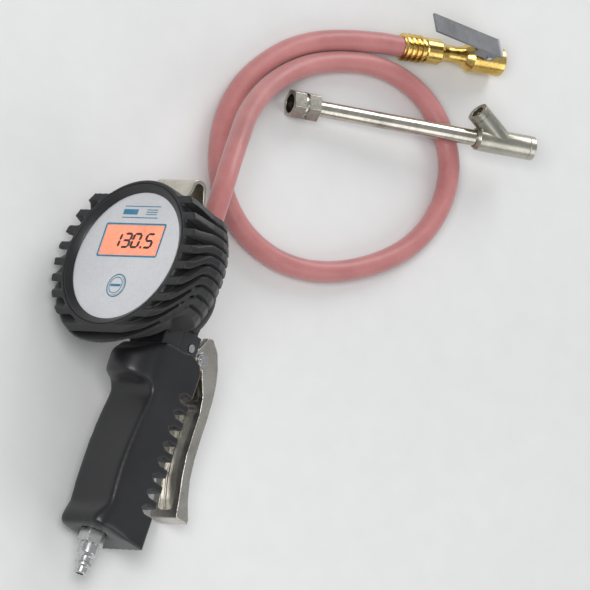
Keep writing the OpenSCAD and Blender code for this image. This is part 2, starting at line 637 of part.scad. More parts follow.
module extension_tube() color("silver") at_ext() difference() {
    union() {
        rod_x(ext_r, 9, head_x + 6);
        rod_x(ext_r + 0.3, 9, 11.8);
    }
    rod_x(2.6, 8, head_x + 7);
}

module dual_head() color("lightgray") at_ext() difference() {
    union() {
        turned_x([[0, head_x], [foot_r - 1.6, head_x], [foot_r - 0.2, head_x + 2], [foot_r, head_x + 6],
            [foot_r, ext_len - 4.1], [0, ext_len - 4.1]]);
        translate([foot_at, 0, 0]) rotate([0, 0, foot_turn]) rod_x(foot_r - 0.6, 0, foot_len - 4.1);
        translate([foot_at - 16, 0, -3]) cube([14, 9, 6]);
    }
    rod_x(ext_r + fit, head_x - 1, head_x + 6.1);
    rod_x(2, head_x, ext_len);
    translate([foot_at, 0, 0]) rotate([0, 0, foot_turn]) rod_x(1.8, 0, foot_len);
}

// The cap, gasket and pusher of a foot are drawn from its cut end at l - 4 to its mouth at l
module cap(r, l) difference() {
    rod_x(r, l - 4, l);
    rod_x(r - 1.3, l - 5, l - 1.2);
    rod_x(valve_hole_r, l - 5, l + 1);
}

module gasket(r, l) difference() {
    rod_x(r - 1.35, l - 3, l - 1.25);
    rod_x(2, l - 5, l);
}

module pusher(r, l) difference() {
    union() {
        rod_x(r - 1.35, l - 3.95, l - 3.05);
        rod_x(1, l - 3.5, l - 1.25);
    }
    for (a = [0:90:270]) rotate([a, 0, 0]) rod_x(0.8, l - 5, l - 2, (r - 1.3)/2 + 0.5);
}

module at_feet() at_ext() {
    children(0);
    translate([foot_at, 0, 0]) rotate([0, 0, foot_turn]) children(1);
}

module foot_caps() color("lightgray") at_feet() {
    cap(foot_r, ext_len);
    cap(foot_r - 0.6, foot_len);
}

module foot_gaskets() color("black") at_feet() {
    gasket(foot_r, ext_len);
    gasket(foot_r - 0.6, foot_len);
}

module foot_pushers() color("gold") at_feet() {
    pusher(foot_r, ext_len);
    pusher(foot_r - 0.6, foot_len);
}

lay() boot();
lay() gauge_case();
lay() bezel();
lay() face_plate();
lay() display_window();
lay() display_panel();
lay() push_button();
lay() button_switch();
lay() circuit_board();
lay() battery();
lay() battery_holder();
lay() pressure_sensor();
lay() gauge_stem();
lay() gauge_stem_nut();
lay() gauge_o_ring();
lay() hanging_hook();
lay() hook_screws();
lay() valve_body();
lay() valve_seat();
lay() valve_stem();
lay() stem_seal();
lay() valve_spring();
lay() gland_nut();
lay() cross_pin();
lay() squeeze_lever();
lay() lever_pin();
lay() pin_clips();
lay() grip();
lay() air_tube();
lay() inlet_plug();
lay() inlet_screen();
lay() hose_fitting();
lay() hose_ferrule();
hose();
chuck_ferrule();
chuck_body();
chuck_gasket();
chuck_pusher();
clip_lever();
clip_pin();
clip_spring();
swivel_nut();
nut_washer();
extension_tube();
dual_head();
foot_caps();
foot_gaskets();
foot_pushers();
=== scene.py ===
import json
import math
import bmesh
import bpy
from mathutils import Matrix, Vector


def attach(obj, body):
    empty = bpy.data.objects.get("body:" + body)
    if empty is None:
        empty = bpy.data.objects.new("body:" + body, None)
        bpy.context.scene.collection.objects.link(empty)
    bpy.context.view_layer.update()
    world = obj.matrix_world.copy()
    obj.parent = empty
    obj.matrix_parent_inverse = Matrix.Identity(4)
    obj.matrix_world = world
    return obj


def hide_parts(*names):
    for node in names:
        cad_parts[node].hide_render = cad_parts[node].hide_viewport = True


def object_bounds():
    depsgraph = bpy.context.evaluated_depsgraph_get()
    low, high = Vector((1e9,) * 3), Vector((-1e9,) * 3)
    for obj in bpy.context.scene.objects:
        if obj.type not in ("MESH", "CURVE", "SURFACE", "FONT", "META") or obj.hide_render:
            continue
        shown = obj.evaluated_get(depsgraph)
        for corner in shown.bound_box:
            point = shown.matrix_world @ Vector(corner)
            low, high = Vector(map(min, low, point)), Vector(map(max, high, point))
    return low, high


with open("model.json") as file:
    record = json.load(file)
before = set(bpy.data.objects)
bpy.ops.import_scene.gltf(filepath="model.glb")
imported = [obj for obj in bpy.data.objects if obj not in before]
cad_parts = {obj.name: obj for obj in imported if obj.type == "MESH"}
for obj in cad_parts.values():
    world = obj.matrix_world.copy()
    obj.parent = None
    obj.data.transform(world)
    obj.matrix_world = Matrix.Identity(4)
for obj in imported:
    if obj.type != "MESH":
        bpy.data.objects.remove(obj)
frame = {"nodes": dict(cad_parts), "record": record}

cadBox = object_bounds()
nodes = frame["nodes"]
millimetre = 0.001

# How the inflator lies. Upright, +X is right, +Y away from the dial and +Z up the grip.
pose = {"lean": 18.0, "tilt": 8.3, "restAt": (-0.1247, -0.017, 0.0628)}


def turnAbout(axis, degrees):
    return Matrix.Rotation(math.radians(degrees), 4, axis)


upright = (Matrix.Translation(pose["restAt"]) @ turnAbout("X", pose["tilt"])
           @ turnAbout("Y", pose["lean"]) @ turnAbout("Z", -90) @ turnAbout("Y", -90))


def fromUpright(x, y, z):
    return upright @ (Vector((x, y, z)) * millimetre)


# The camera's right and up in the upright axes; its aim is in millimetres from the dial's middle
camera = {"right": (0.7167, 0.6277, 0.3038), "up": (-0.0237, -0.4135, 0.9101), "aimRight": 101.3,
          "aimUp": -23.7, "lens": 800.0, "sensor": 36.0, "distance": 7.867, "near": 0.05, "far": 20.0}


def placeCamera():
    turned = upright.to_3x3()
    right = (turned @ Vector(camera["right"])).normalized()
    up = turned @ Vector(camera["up"])
    up = (up - right * up.dot(right)).normalized()
    back = right.cross(up)
    aside = right * camera["aimRight"] + up * camera["aimUp"]
    eye = fromUpright(0, 0, 0) + aside * millimetre + back * camera["distance"]
    data = bpy.data.cameras.new("camera")
    data.lens = camera["lens"]
    data.sensor_width = camera["sensor"]
    data.clip_start = camera["near"]
    data.clip_end = camera["far"]
    ob = bpy.data.objects.new("camera", data)
    bpy.context.scene.collection.objects.link(ob)
    ob.matrix_world = Matrix.Translation(eye) @ Matrix((right, up, back)).transposed().to_4x4()
    bpy.context.scene.camera = ob


placeCamera()
print("camera placed")


# The diameter is in metres and the rest in millimetres; exit is upright, the others as they lie
hose = {"diameter": 0.0132, "exit": (0, 58, 34), "straight": (0, 10, 20), "steps": 8, "roundness": 8,
        "chuckAt": (45.5, 220.5, 9.5), "chuckYaw": 17.0, "towardsChuck": (-16, -6, 0)}
hoseRoute = [  # down from the valve body and round the loop, in millimetres
    (-69, 59.5, 54), (-66, 80, 49.5), (-61, 99.5, 41.5), (-55, 118.5, 32), (-46.5, 137, 23.5),
    (-36, 154, 16), (-23, 170, 11), (-7, 184, 7.8), (11.5, 194.5, 6.7), (32, 201.5, 6.7),
    (53, 202.5, 6.7), (73, 196.5, 6.7), (89.5, 183, 6.7), (100, 164.5, 6.7), (102.5, 143.5, 6.7),
    (98.5, 122.5, 6.7), (89, 103, 6.7), (75, 86.5, 6.7), (58, 72.5, 6.7), (39.5, 61.5, 6.7),
    (19.5, 54.5, 6.7), (-1.5, 53, 6.7), (-22, 58.5, 6.7), (-39, 71, 6.7), (-50.5, 88.5, 6.7),
    (-56, 109, 6.7), (-56, 130.5, 6.7), (-50.5, 151, 6.7), (-40, 169.5, 6.7), (-26, 186, 6.8),
    (-9, 199, 7.2), (10, 208.5, 8)]


def smoothLine(points, steps):  # an even curve through every point
    last = len(points) - 1
    line = []
    for i in range(last):
        a, b, c, d = (points[min(max(i + k, 0), last)] for k in (-1, 0, 1, 2))
        for k in range(steps):
            t = k / steps
            line.append(0.5 * (2 * b + (c - a) * t + (2 * a - 5 * b + 4 * c - d) * t * t
                               + (3 * b - a - 3 * c + d) * t ** 3))
    return line + [points[last]]


def lineLength(line):
    return sum((b - a).length for a, b in zip(line, line[1:]))


def makeHose():
    x, y, z = hose["exit"]
    points = [fromUpright(x, y, z + d) for d in hose["straight"]]
    points += [Vector(p) * millimetre for p in hoseRoute]
    yaw = math.radians(hose["chuckYaw"])
    along = Vector((math.cos(yaw), math.sin(yaw), 0))
    points += [(Vector(hose["chuckAt"]) + along * d) * millimetre for d in hose["towardsChuck"]]
    line = smoothLine(points, hose["steps"])
    curve = bpy.data.curves.new("hose_tube", "CURVE")
    curve.dimensions = "3D"
    curve.bevel_depth = 1.0  # each point's own radius sets the thickness
    curve.bevel_resolution = hose["roundness"]
    curve.use_fill_caps = True
    spline = curve.splines.new("POLY")
    spline.points.add(len(line) - 1)
    for point, at in zip(spline.points, line):
        point.co = (*at, 1.0)
        point.radius = hose["diameter"] / 2
    spline.use_smooth = True
    ob = bpy.data.objects.new("hose_tube", curve)
    bpy.context.scene.collection.objects.link(ob)
    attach(ob, "inflator")
    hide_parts("hose")
    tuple(points[0])
    round(lineLength(line), 4)
    return ob


hoseTube = makeHose()
print("hose laid")


def newGroup(name, inputs, outputs):
    group = bpy.data.node_groups.new(name, "ShaderNodeTree")
    for label, kind, value in inputs:
        socket = group.interface.new_socket(label, in_out="INPUT", socket_type=kind)
        socket.default_value = value
    for label, kind in outputs:
        group.interface.new_socket(label, in_out="OUTPUT", socket_type=kind)
    return group, group.nodes.new("NodeGroupInput"), group.nodes.new("NodeGroupOutput")


def joinUp(tree, *pairs):
    for a, b in pairs:
        tree.links.new(a, b)


def addNode(tree, kind, **values):
    node = tree.nodes.new(kind)
    for key, value in values.items():
        if hasattr(node, key):
            setattr(node, key, value)
        else:
            node.inputs[key.replace("_", " ")].default_value = value
    return node


# The share of the specks, and the noise levels that are wholly dark and wholly light
mottleMix = {"specks": 0.35, "darkBelow": 0.45, "lightAbove": 0.9}


def makeMottle():  # a slow change between two colours, with fine specks
    group, source, result = newGroup(
        "mottle",
        [("Dark", "NodeSocketColor", (0, 0, 0, 1)), ("Light", "NodeSocketColor", (1, 1, 1, 1)),
         ("Size", "NodeSocketFloat", 40.0), ("Specks", "NodeSocketFloat", 900.0),
         ("Contrast", "NodeSocketFloat", 1.0)],
        [("Color", "NodeSocketColor"), ("Mask", "NodeSocketFloat")])
    place = addNode(group, "ShaderNodeTexCoord")
    slow = addNode(group, "ShaderNodeTexNoise", Detail=4.0, Roughness=0.6)
    fine = addNode(group, "ShaderNodeTexNoise", Detail=2.0, Roughness=0.5)
    both = addNode(group, "ShaderNodeMath", operation="MULTIPLY_ADD")
    both.inputs[1].default_value = mottleMix["specks"]
    spread = addNode(group, "ShaderNodeMath", operation="MULTIPLY")
    level = addNode(group, "ShaderNodeMapRange")
    level.inputs["From Min"].default_value = mottleMix["darkBelow"]
    level.inputs["From Max"].default_value = mottleMix["lightAbove"]
    mix = addNode(group, "ShaderNodeMix", data_type="RGBA")
    joinUp(group, (place.outputs["Object"], slow.inputs["Vector"]),
           (place.outputs["Object"], fine.inputs["Vector"]),
           (source.outputs["Size"], slow.inputs["Scale"]),
           (source.outputs["Specks"], fine.inputs["Scale"]),
           (fine.outputs["Fac"], both.inputs[0]), (slow.outputs["Fac"], both.inputs[2]),
           (both.outputs[0], level.inputs["Value"]), (level.outputs[0], spread.inputs[0]),
           (source.outputs["Contrast"], spread.inputs[1]), (spread.outputs[0], mix.inputs[0]),
           (source.outputs["Dark"], mix.inputs[6]), (source.outputs["Light"], mix.inputs[7]),
           (mix.outputs[2], result.inputs["Color"]),  # 6, 7 and 2 are the mix's colour sockets
           (spread.outputs[0], result.inputs["Mask"]))
    return group


grainMix = {"waves": 1.6}  # how much the slow waves count against the fine grain


def makeGrain():  # fine bumps all over, as on moulded rubber and plastic
    group, source, result = newGroup(
        "grain", [("Size", "NodeSocketFloat", 1500.0), ("Waves", "NodeSocketFloat", 60.0)],
        [("Height", "NodeSocketFloat")])
    place = addNode(group, "ShaderNodeTexCoord")
    fine = addNode(group, "ShaderNodeTexNoise", Detail=3.0, Roughness=0.65)
    slow = addNode(group, "ShaderNodeTexNoise", Detail=1.0)
    both = addNode(group, "ShaderNodeMath", operation="MULTIPLY_ADD")
    both.inputs[1].default_value = grainMix["waves"]
    joinUp(group, (place.outputs["Object"], fine.inputs["Vector"]),
           (place.outputs["Object"], slow.inputs["Vector"]),
           (source.outputs["Size"], fine.inputs["Scale"]),
           (source.outputs["Waves"], slow.inputs["Scale"]),
           (slow.outputs["Fac"], both.inputs[0]), (fine.outputs["Fac"], both.inputs[2]),
           (both.outputs[0], result.inputs["Height"]))
    return group


def makeBrushed():  # fine parallel lines along one direction of a turned coordinate
    group, source, result = newGroup(
        "brushed",
        [("Turn", "NodeSocketVector", (0, 0, 0)), ("Stretch", "NodeSocketVector", (20, 900, 900)),
         ("Depth", "NodeSocketFloat", 1.0)],
        [("Height", "NodeSocketFloat"), ("Mask", "NodeSocketFloat")])
    place = addNode(group, "ShaderNodeTexCoord")
    turn = addNode(group, "ShaderNodeMapping", vector_type="TEXTURE")
    stretch = addNode(group, "ShaderNodeMapping", vector_type="POINT")
    lines = addNode(group, "ShaderNodeTexNoise", Detail=3.0, Roughness=0.7)
    lines.inputs["Scale"].default_value = 1.0
    deep = addNode(group, "ShaderNodeMath", operation="MULTIPLY")
    joinUp(group, (place.outputs["Object"], turn.inputs["Vector"]),
           (source.outputs["Turn"], turn.inputs["Rotation"]),
           (turn.outputs[0], stretch.inputs["Vector"]),
           (source.outputs["Stretch"], stretch.inputs["Scale"]),
           (stretch.outputs[0], lines.inputs["Vector"]), (lines.outputs["Fac"], deep.inputs[0]),
           (source.outputs["Depth"], deep.inputs[1]), (deep.outputs[0], result.inputs["Height"]),
           (lines.outputs["Fac"], result.inputs["Mask"]))
    return group


mottle = makeMottle()
grain = makeGrain()
brushed = makeBrushed()


def startMaterial(name):
    mat = bpy.data.materials.new(name)
    mat.use_nodes = True
    return mat, mat.node_tree, mat.node_tree.nodes["Principled BSDF"]


def useGroup(tree, group, **values):
    node = tree.nodes.new("ShaderNodeGroup")
    node.node_tree = group
    for key, value in values.items():
        node.inputs[key].default_value = value
    return node


def roughBy(tree, mask, shader, low, high):
    level = addNode(tree, "ShaderNodeMapRange")
    level.inputs["To Min"].default_value = low
    level.inputs["To Max"].default_value = high
    joinUp(tree, (mask, level.inputs["Value"]), (level.outputs[0], shader.inputs["Roughness"]))


def bumpBy(tree, height, shader, strength, distance):
    bump = addNode(tree, "ShaderNodeBump")
    bump.inputs["Strength"].default_value = strength
    bump.inputs["Distance"].default_value = distance
    joinUp(tree, (height, bump.inputs["Height"]), (bump.outputs[0], shader.inputs["Normal"]))


# How every moulded finish is mottled, and how deep its grain is in metres
mouldedLook = {"patches": 35.0, "specks": 1200.0, "deep": 0.0002}
# dark and light colours, roughness range, grain, and gloss of each moulded finish
moulded = {
    "boot_rubber": {"dark": (0.007, 0.007, 0.008), "light": (0.014, 0.014, 0.0155),
                    "rough": (0.42, 0.58), "size": 1400.0, "waves": 90.0, "bump": 0.18,
                    "sheen": 0.08, "coat": 0.0},
    "grip_rubber": {"dark": (0.005, 0.005, 0.006), "light": (0.010, 0.010, 0.012),
                    "rough": (0.34, 0.48), "size": 2200.0, "waves": 70.0, "bump": 0.12,
                    "sheen": 0.05, "coat": 0.12},
    "bezel_plastic": {"dark": (0.007, 0.007, 0.008), "light": (0.012, 0.012, 0.014),
                      "rough": (0.30, 0.42), "size": 1800.0, "waves": 60.0, "bump": 0.08,
                      "sheen": 0.0, "coat": 0.1},
    "black_plastic": {"dark": (0.012, 0.012, 0.013), "light": (0.022, 0.022, 0.024),
                      "rough": (0.40, 0.55), "size": 1800.0, "waves": 60.0, "bump": 0.10,
                      "sheen": 0.0, "coat": 0.0},
    "seal_rubber": {"dark": (0.010, 0.010, 0.010), "light": (0.022, 0.022, 0.022),
                    "rough": (0.50, 0.70), "size": 2000.0, "waves": 80.0, "bump": 0.12,
                    "sheen": 0.1, "coat": 0.0},
    "board_green": {"dark": (0.006, 0.080, 0.030), "light": (0.012, 0.120, 0.045),
                    "rough": (0.25, 0.40), "size": 900.0, "waves": 200.0, "bump": 0.05,
                    "sheen": 0.0, "coat": 0.3},
    "body_casting": {"dark": (0.014, 0.014, 0.015), "light": (0.028, 0.028, 0.030),
                     "rough": (0.38, 0.55), "size": 1100.0, "waves": 120.0, "bump": 0.22,
                     "sheen": 0.0, "coat": 0.15},
    "hose_rubber": {"dark": (0.44, 0.150, 0.148), "light": (0.57, 0.225, 0.218),
                    "rough": (0.38, 0.50), "size": 1300.0, "waves": 45.0, "bump": 0.10,
                    "sheen": 0.25, "coat": 0.05},
}


def mouldedMaterial(name):
    s = moulded[name]
    mat, tree, shader = startMaterial(name)
    colour = useGroup(tree, mottle, Dark=(*s["dark"], 1), Light=(*s["light"], 1),
                      Size=mouldedLook["patches"], Specks=mouldedLook["specks"])
    bumps = useGroup(tree, grain, Size=s["size"], Waves=s["waves"])
    joinUp(tree, (colour.outputs["Color"], shader.inputs["Base Color"]))
    roughBy(tree, colour.outputs["Mask"], shader, *s["rough"])
    bumpBy(tree, bumps.outputs["Height"], shader, s["bump"], mouldedLook["deep"])
    shader.inputs["Sheen Weight"].default_value = s["sheen"]
    shader.inputs["Coat Weight"].default_value = s["coat"]
    return mat


# How every metal is mottled, and how strong and deep (in metres) its lines are
metalLook = {"patches": 55.0, "specks": 700.0, "contrast": 1.3, "bump": 0.2, "deep": 0.0001}
# colours, roughness range, fineness of the lines along each direction and their depth
metals = {
    "brass": {"dark": (0.50, 0.31, 0.07), "light": (0.86, 0.63, 0.22), "rough": (0.16, 0.30),
              "stretch": (260, 260, 700), "depth": 0.10},
    "bright_steel": {"dark": (0.42, 0.42, 0.43), "light": (0.72, 0.72, 0.73), "rough": (0.12, 0.24),
                     "stretch": (300, 300, 600), "depth": 0.05},
    "hook_steel": {"dark": (0.46, 0.43, 0.36), "light": (0.66, 0.62, 0.54), "rough": (0.22, 0.36),
                   "stretch": (60, 700, 700), "depth": 0.12},
    "lever_metal": {"dark": (0.44, 0.42, 0.38), "light": (0.62, 0.595, 0.54), "rough": (0.26, 0.36),
                    "stretch": (400, 400, 40), "depth": 0.10},
    "plug_steel": {"dark": (0.40, 0.41, 0.41), "light": (0.62, 0.63, 0.62), "rough": (0.22, 0.34),
                   "stretch": (200, 200, 800), "depth": 0.08},
    "clip_steel": {"dark": (0.20, 0.205, 0.215), "light": (0.30, 0.305, 0.32),
                   "rough": (0.34, 0.48), "stretch": (300, 300, 300), "depth": 0.12},
    "nickel": {"dark": (0.33, 0.31, 0.27), "light": (0.60, 0.57, 0.50), "rough": (0.16, 0.28),
               "stretch": (400, 400, 400), "depth": 0.06},
    "head_metal": {"dark": (0.34, 0.33, 0.28), "light": (0.52, 0.50, 0.43), "rough": (0.26, 0.40),
                   "stretch": (300, 300, 300), "depth": 0.14},
}


def metalMaterial(name):
    s = metals[name]
    mat, tree, shader = startMaterial(name)
    colour = useGroup(tree, mottle, Dark=(*s["dark"], 1), Light=(*s["light"], 1),
                      Size=metalLook["patches"], Specks=metalLook["specks"],
                      Contrast=metalLook["contrast"])
    lines = useGroup(tree, brushed, Turn=upright.to_euler(), Stretch=s["stretch"],
                     Depth=s["depth"])
    joinUp(tree, (colour.outputs["Color"], shader.inputs["Base Color"]))
    roughBy(tree, lines.outputs["Mask"], shader, *s["rough"])
    bumpBy(tree, lines.outputs["Height"], shader, metalLook["bump"], metalLook["deep"])
    shader.inputs["Metallic"].default_value = 1.0
    return mat


label = {"dark": (0.66, 0.67, 0.69, 1), "light": (0.82, 0.83, 0.85, 1), "patches": 12.0,
         "specks": 500.0, "stretch": (30, 1800, 1800), "depth": 0.08, "rough": (0.34, 0.50),
         "bump": 0.25, "deep": 0.0001, "metallic": 0.55}


def dialSilver():  # satin silver label, brushed across the dial
    mat, tree, shader = startMaterial("dial_silver")
    colour = useGroup(tree, mottle, Dark=label["dark"], Light=label["light"],
                      Size=label["patches"], Specks=label["specks"])
    lines = useGroup(tree, brushed, Turn=upright.to_euler(), Stretch=label["stretch"],
                     Depth=label["depth"])
    joinUp(tree, (colour.outputs["Color"], shader.inputs["Base Color"]))
    roughBy(tree, lines.outputs["Mask"], shader, *label["rough"])
    bumpBy(tree, lines.outputs["Height"], shader, label["bump"], label["deep"])
    shader.inputs["Metallic"].default_value = label["metallic"]
    return mat


lens = {"dark": (0.90, 0.80, 0.76, 1), "light": (1.0, 0.92, 0.88, 1), "patches": 30.0,
        "specks": 300.0, "rough": 0.03, "ior": 1.3}


def displayLens():  # clear window with a faint warm tint
    mat, tree, shader = startMaterial("display_lens")
    colour = useGroup(tree, mottle, Dark=lens["dark"], Light=lens["light"],
                      Size=lens["patches"], Specks=lens["specks"])
    joinUp(tree, (colour.outputs["Color"], shader.inputs["Base Color"]))
    shader.inputs["Transmission Weight"].default_value = 1.0
    shader.inputs["Roughness"].default_value = lens["rough"]
    shader.inputs["IOR"].default_value = lens["ior"]
    return mat


panel = {"dark": (0.88, 0.25, 0.14, 1), "light": (1.0, 0.40, 0.26, 1), "patches": 22.0,
         "specks": 400.0, "glow": 0.85, "rough": 0.4}


def displayOrange():  # a lit panel, a little uneven as a backlight is
    mat, tree, shader = startMaterial("display_orange")
    colour = useGroup(tree, mottle, Dark=panel["dark"], Light=panel["light"],
                      Size=panel["patches"], Specks=panel["specks"])
    joinUp(tree, (colour.outputs["Color"], shader.inputs["Base Color"]),
           (colour.outputs["Color"], shader.inputs["Emission Color"]))
    shader.inputs["Emission Strength"].default_value = panel["glow"]
    shader.inputs["Roughness"].default_value = panel["rough"]
    return mat


ink = {"patches": 200.0, "specks": 2500.0, "grain": 2500.0, "waves": 300.0, "rough": (0.35, 0.5),
       "bump": 0.05, "deep": 0.0001}


def inkMaterial(name, dark, light):
    mat, tree, shader = startMaterial(name)
    colour = useGroup(tree, mottle, Dark=(*dark, 1), Light=(*light, 1), Size=ink["patches"],
                      Specks=ink["specks"])
    bumps = useGroup(tree, grain, Size=ink["grain"], Waves=ink["waves"])
    joinUp(tree, (colour.outputs["Color"], shader.inputs["Base Color"]))
    roughBy(tree, colour.outputs["Mask"], shader, *ink["rough"])
    bumpBy(tree, bumps.outputs["Height"], shader, ink["bump"], ink["deep"])
    return mat


finishes = {name: mouldedMaterial(name) for name in moulded}
finishes.update({name: metalMaterial(name) for name in metals})
finishes.update({"dial_silver": dialSilver(), "display_lens": displayLens(),
                 "display_orange": displayOrange()})
blueInk = inkMaterial("blue_ink", (0.02, 0.16, 0.30), (0.05, 0.27, 0.42))
blackInk = inkMaterial("black_ink", (0.008, 0.008, 0.009), (0.02, 0.02, 0.02))
print("finishes made")


surface = {"weldWithin": 2e-6, "smoothing": 0.5}  # metres, and the share of each smoothing step


def clearNormals(mesh):
    if "custom_normal" in mesh.attributes:
        mesh.attributes.remove(mesh.attributes["custom_normal"])
    mesh.shade_smooth()


def weldUp(ob):
    weld = ob.modifiers.new("weld", "WELD")
    weld.merge_threshold = surface["weldWithin"]


# Rounded edges in millimetres: every other node of metal or hard plastic gets the plain width
bevels = {"plain": 0.15, "sharperThan": 28.0, "segments": 2}
edgeWidths = {
    "bezel": 0.4, "gauge_case": 0.3, "face_plate": 0.12, "display_window": 0.12, "push_button": 0.2,
    "hanging_hook": 0.35, "hook_screws": 0.25, "gland_nut": 0.4, "cross_pin": 0.3, "lever_pin": 0.3,
    "pin_clips": 0.15, "inlet_plug": 0.35, "hose_fitting": 0.4, "hose_ferrule": 0.35,
    "chuck_ferrule": 0.35, "chuck_body": 0.45, "clip_lever": 0.3, "clip_pin": 0.3, "swivel_nut": 0.5,
    "extension_tube": 0.3, "dual_head": 0.5, "foot_caps": 0.3}


def machined(node):  # crisp piece with small rounded edges
    ob = nodes[node]
    clearNormals(ob.data)
    weldUp(ob)
    bevel = ob.modifiers.new("edges", "BEVEL")
    bevel.width = edgeWidths.get(node, bevels["plain"]) * millimetre
    bevel.segments = bevels["segments"]
    bevel.limit_method = "ANGLE"
    bevel.angle_limit = math.radians(bevels["sharperThan"])
    bevel.miter_outer = "MITER_ARC"
    weighted = ob.modifiers.new("normals", "WEIGHTED_NORMAL")
    weighted.keep_sharp = False


# How finely each soft piece is meshed, in millimetres, and how many times it is smoothed
softened = {
    "boot": {"mesh": 0.6, "rounds": 9}, "grip": {"mesh": 0.75, "rounds": 4},
    "squeeze_lever": {"mesh": 0.5, "rounds": 3}, "valve_body": {"mesh": 0.6, "rounds": 3}}


def moulding(node):  # soft piece whose edges are rounded as in a mould
    ob = nodes[node]
    clearNormals(ob.data)
    weldUp(ob)
    remesh = ob.modifiers.new("skin", "REMESH")
    remesh.mode = "VOXEL"
    remesh.voxel_size = softened[node]["mesh"] * millimetre
    remesh.use_smooth_shade = True
    smooth = ob.modifiers.new("rounding", "SMOOTH")
    smooth.factor = surface["smoothing"]
    smooth.iterations = softened[node]["rounds"]


# The grip is rounded where upright Y is under this, and fully so a blend further, in millimetres
palmSide = {"from": 58.0, "blend": 12.0, "rounds": 40}


def roundPalmSide(ob):
    group = bpy.data.node_groups.new("rounding", "GeometryNodeTree")
    for way in ("INPUT", "OUTPUT"):
        group.interface.new_socket("Geometry", in_out=way, socket_type="NodeSocketGeometry")
    source, result = group.nodes.new("NodeGroupInput"), group.nodes.new("NodeGroupOutput")
    forward = upright.to_3x3() @ Vector((0, 1, 0))
    edge = forward.dot(fromUpright(0, palmSide["from"], 0))
    place = group.nodes.new("GeometryNodeInputPosition")
    depth = addNode(group, "ShaderNodeVectorMath", operation="DOT_PRODUCT")
    depth.inputs[1].default_value = forward
    weight = addNode(group, "ShaderNodeMapRange")
    weight.inputs["From Min"].default_value = edge
    weight.inputs["From Max"].default_value = edge - palmSide["blend"] * millimetre
    blur = addNode(group, "GeometryNodeBlurAttribute", data_type="FLOAT_VECTOR")
    blur.inputs["Iterations"].default_value = palmSide["rounds"]
    move = group.nodes.new("GeometryNodeSetPosition")
    before = [i for i in blur.inputs if i.name == "Value" and i.enabled]
    after = [o for o in blur.outputs if o.enabled]
    joinUp(group, (source.outputs[0], move.inputs["Geometry"]), (place.outputs[0], depth.inputs[0]),
           (depth.outputs["Value"], weight.inputs["Value"]), (place.outputs[0], before[0]),
           (weight.outputs[0], blur.inputs["Weight"]), (after[0], move.inputs["Position"]),
           (move.outputs[0], result.inputs[0]))
    ob.modifiers.new("palm side", "NODES").node_group = group


def finishNodes():
    slots = {row["node"]: row["material_slot"] for row in frame["record"]["subparts"]}
    for name, ob in nodes.items():
        if name == "hose":
            continue
        if name in softened:
            moulding(name)
        else:
            machined(name)
        ob.data.materials.clear()
        ob.data.materials.append(finishes[slots[name]])
    roundPalmSide(nodes["grip"])
    hoseTube.data.materials.append(finishes["hose_rubber"])


finishNodes()
print("nodes finished")


# Printing on the dial, in millimetres: each rule is its middle's x and z, its length and its height
dial = {"printY": -0.06, "printDepth": 0.05, "window": (48.0, 19.5), "windowZ": 10.2,
        "frameGap": 0.35, "frameWidth": 1.0, "frameCorners": (0.8, 1.4), "buttonDrop": 19.7,
        "buttonRing": (6.9, 7.6),
        "rules": ((0.6, 32.4, 30, 0.5), (0.6, 25.0, 30, 0.5), (-8.4, 28.7, 12, 3.4),
                  (9.6, 28.7, 9, 0.5), (9.6, 30.2, 9, 0.5), (9.6, 27.2, 9, 0.5))}
buttonMark = {"y": -0.56, "depth": 0.05, "bar": (8.6, 1.5), "corner": 0.5, "ring": (4.9, 5.4)}
# The reading, in millimetres: at gives each digit's left side, and the bars are named a to g
digits = {"height": 8.8, "width": 5.7, "stroke": 1.55, "sides": 1.3, "gap": 0.08, "slant": 0.12,
          "y": 0.84, "depth": 0.04, "at": (("1", -16.4), ("3", -7.9), ("0", 0.1), ("5", 11.0)),
          "dotAt": (8.9, 0.1), "dot": 1.7, "dotCorner": 0.3}
sevenParts = {"0": "abcdef", "1": "bc", "3": "abcdg", "5": "acdfg"}


def flatShape(bm, outline, y, depth):  # a closed outline in the dial's plane, made depth thick
    front = [bm.verts.new(fromUpright(x, y - depth, z)) for x, z in outline]
    back = [bm.verts.new(fromUpright(x, y, z)) for x, z in outline]
    bm.faces.new(front)
    bm.faces.new(list(reversed(back)))
    for i in range(len(outline)):
        j = (i + 1) % len(outline)
        bm.faces.new([front[j], front[i], back[i], back[j]])


def flatRing(bm, inner, outer, y, depth):  # the band between two outlines with as many points
    rows = [[bm.verts.new(fromUpright(x, h, z)) for x, z in line]
            for line, h in ((inner, y - depth), (outer, y - depth), (outer, y), (inner, y))]
    for k in range(4):
        a, b = rows[k], rows[(k + 1) % 4]
        for i in range(len(inner)):
            j = (i + 1) % len(inner)
            bm.faces.new([a[i], a[j], b[j], b[i]])


def roundedBox(w, h, z, r, n=6):  # the outline of a box with rounded corners, n steps round each
    points = []
    x1, z1 = w / 2 - r, h / 2 - r
    for cx, cz, start in ((x1, z1, 0), (-x1, z1, 90), (-x1, -z1, 180), (x1, -z1, 270)):
        for i in range(n + 1):
            a = math.radians(start + 90 * i / n)
            points.append((cx + r * math.cos(a), z + cz + r * math.sin(a)))
    return points


def roundLine(r, z, n=64):
    turns = [2 * math.pi * i / n for i in range(n)]
    return [(r * math.cos(a), z + r * math.sin(a)) for a in turns]


